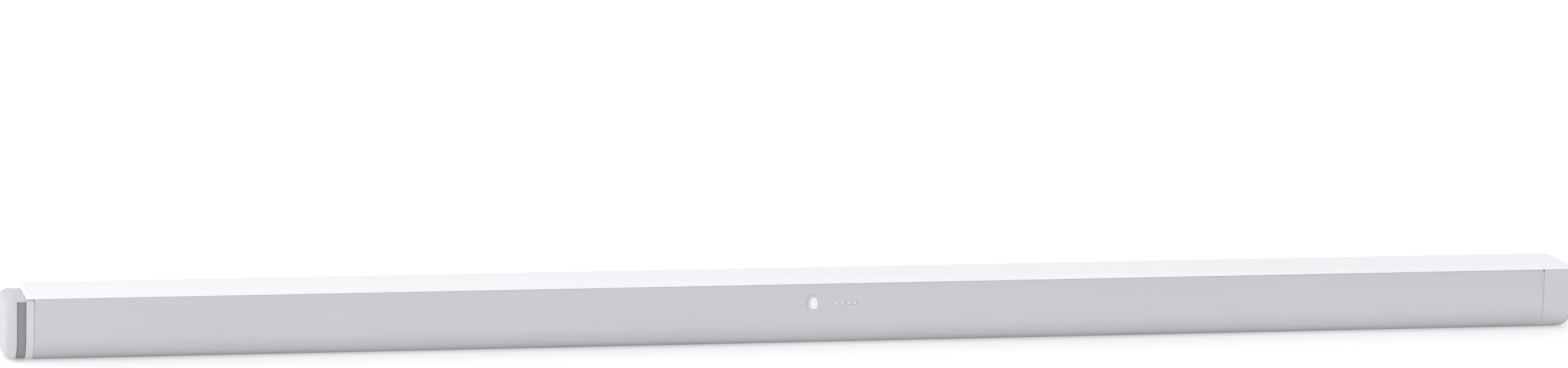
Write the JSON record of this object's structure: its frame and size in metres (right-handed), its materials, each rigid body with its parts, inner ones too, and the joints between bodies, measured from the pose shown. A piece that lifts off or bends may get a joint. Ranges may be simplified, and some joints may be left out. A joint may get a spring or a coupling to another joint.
{
  "type": "led light tube",
  "caption": "Slim battery-powered studio light tube: silver channel, opal light cover along its top, end caps, power button on the front wall, stand sockets in the underside.",
  "frame": {"origin": "middle of the flat underside of the channel", "axes": "+X along the tube towards the charging port, -Y the front wall with the button, +Z the side that gives light"},
  "size_m": [1.177, 0.0506, 0.05],
  "materials": {
    "silver_aluminium": "fine satin anodised, silver grey",
    "opal_cover": "opal white, softly glossy, lets light through",
    "cap_grey": "moulded light grey, fine texture",
    "trim_light": "moulded pale grey, smooth",
    "seal_rubber": "dark grey, matt",
    "plain_aluminium": "mill finish",
    "light_board": "white solder mask",
    "circuit_board": "green solder mask",
    "cell_wrap": "blue shrink wrap over a metal can",
    "holder_plastic": "black, matt",
    "nickel": "bright nickel plate",
    "brass": "turned",
    "screw_steel": "plated",
    "button_white": "smooth, slightly glossy",
    "bezel_grey": "mid grey, matt",
    "light_pipe": "clear, slightly milky",
    "inductor_core": "dark ferrite",
    "capacitor_can": "dark sleeve",
    "lead_jacket": "black, matt"
  },
  "bodies": {
    "tube": {"housing": "silver_aluminium", "light_cover": "opal_cover", "light_tray": "plain_aluminium", "light_board_1": "light_board", "light_board_2": "light_board", "light_board_3": "light_board", "light_board_4": "light_board", "left_end_cap": "cap_grey", "right_end_cap": "cap_grey", "left_seal": "seal_rubber", "right_gasket": "seal_rubber", "left_trim": "trim_light", "cap_screw_1": "screw_steel", "cap_screw_2": "screw_steel", "cap_screw_3": "screw_steel", "charge_port": "screw_steel", "battery_cell_1": "cell_wrap", "battery_cell_2": "cell_wrap", "battery_cell_3": "cell_wrap", "battery_cell_4": "cell_wrap", "battery_cell_5": "cell_wrap", "battery_cell_6": "cell_wrap", "battery_cell_7": "cell_wrap", "battery_cell_8": "cell_wrap", "cell_holder_1": "holder_plastic", "cell_holder_2": "holder_plastic", "cell_holder_3": "holder_plastic", "cell_holder_4": "holder_plastic", "board_carrier": "holder_plastic", "switch_body": "holder_plastic", "cell_link_1": "nickel", "cell_link_2": "nickel", "cell_link_3": "nickel", "cell_link_4": "nickel", "protection_board": "circuit_board", "driver_board": "circuit_board", "control_board": "circuit_board", "port_board": "circuit_board", "inductor": "inductor_core", "capacitor_1": "capacitor_can", "capacitor_2": "capacitor_can", "button_bezel": "bezel_grey", "status_light_1": "light_pipe", "status_light_2": "light_pipe", "status_light_3": "light_pipe", "status_light_4": "light_pipe", "stand_socket_left": "brass", "stand_socket_right": "brass", "battery_lead_left": "lead_jacket", "battery_lead_right": "lead_jacket", "light_lead": "lead_jacket", "port_lead": "lead_jacket"},
    "button": {"power_button": "button_white", "switch_plunger": "button_white"},
    "port_cover": {"port_cover": "seal_rubber"}
  },
  "joints": [
    {"name": "button_press", "type": "slide", "parent": "tube", "child": "button", "axis": [0, 1, 0], "range_m": [0, 0.0008], "stiffness_N_per_m": 800, "springref_m": -0.0005},
    {"name": "port_cover_hinge", "type": "hinge", "parent": "tube", "child": "port_cover", "pos_m": [0.5873, 0, 0.0319], "axis": [0, -1, 0], "range_deg": [0, 95]}
  ]
}
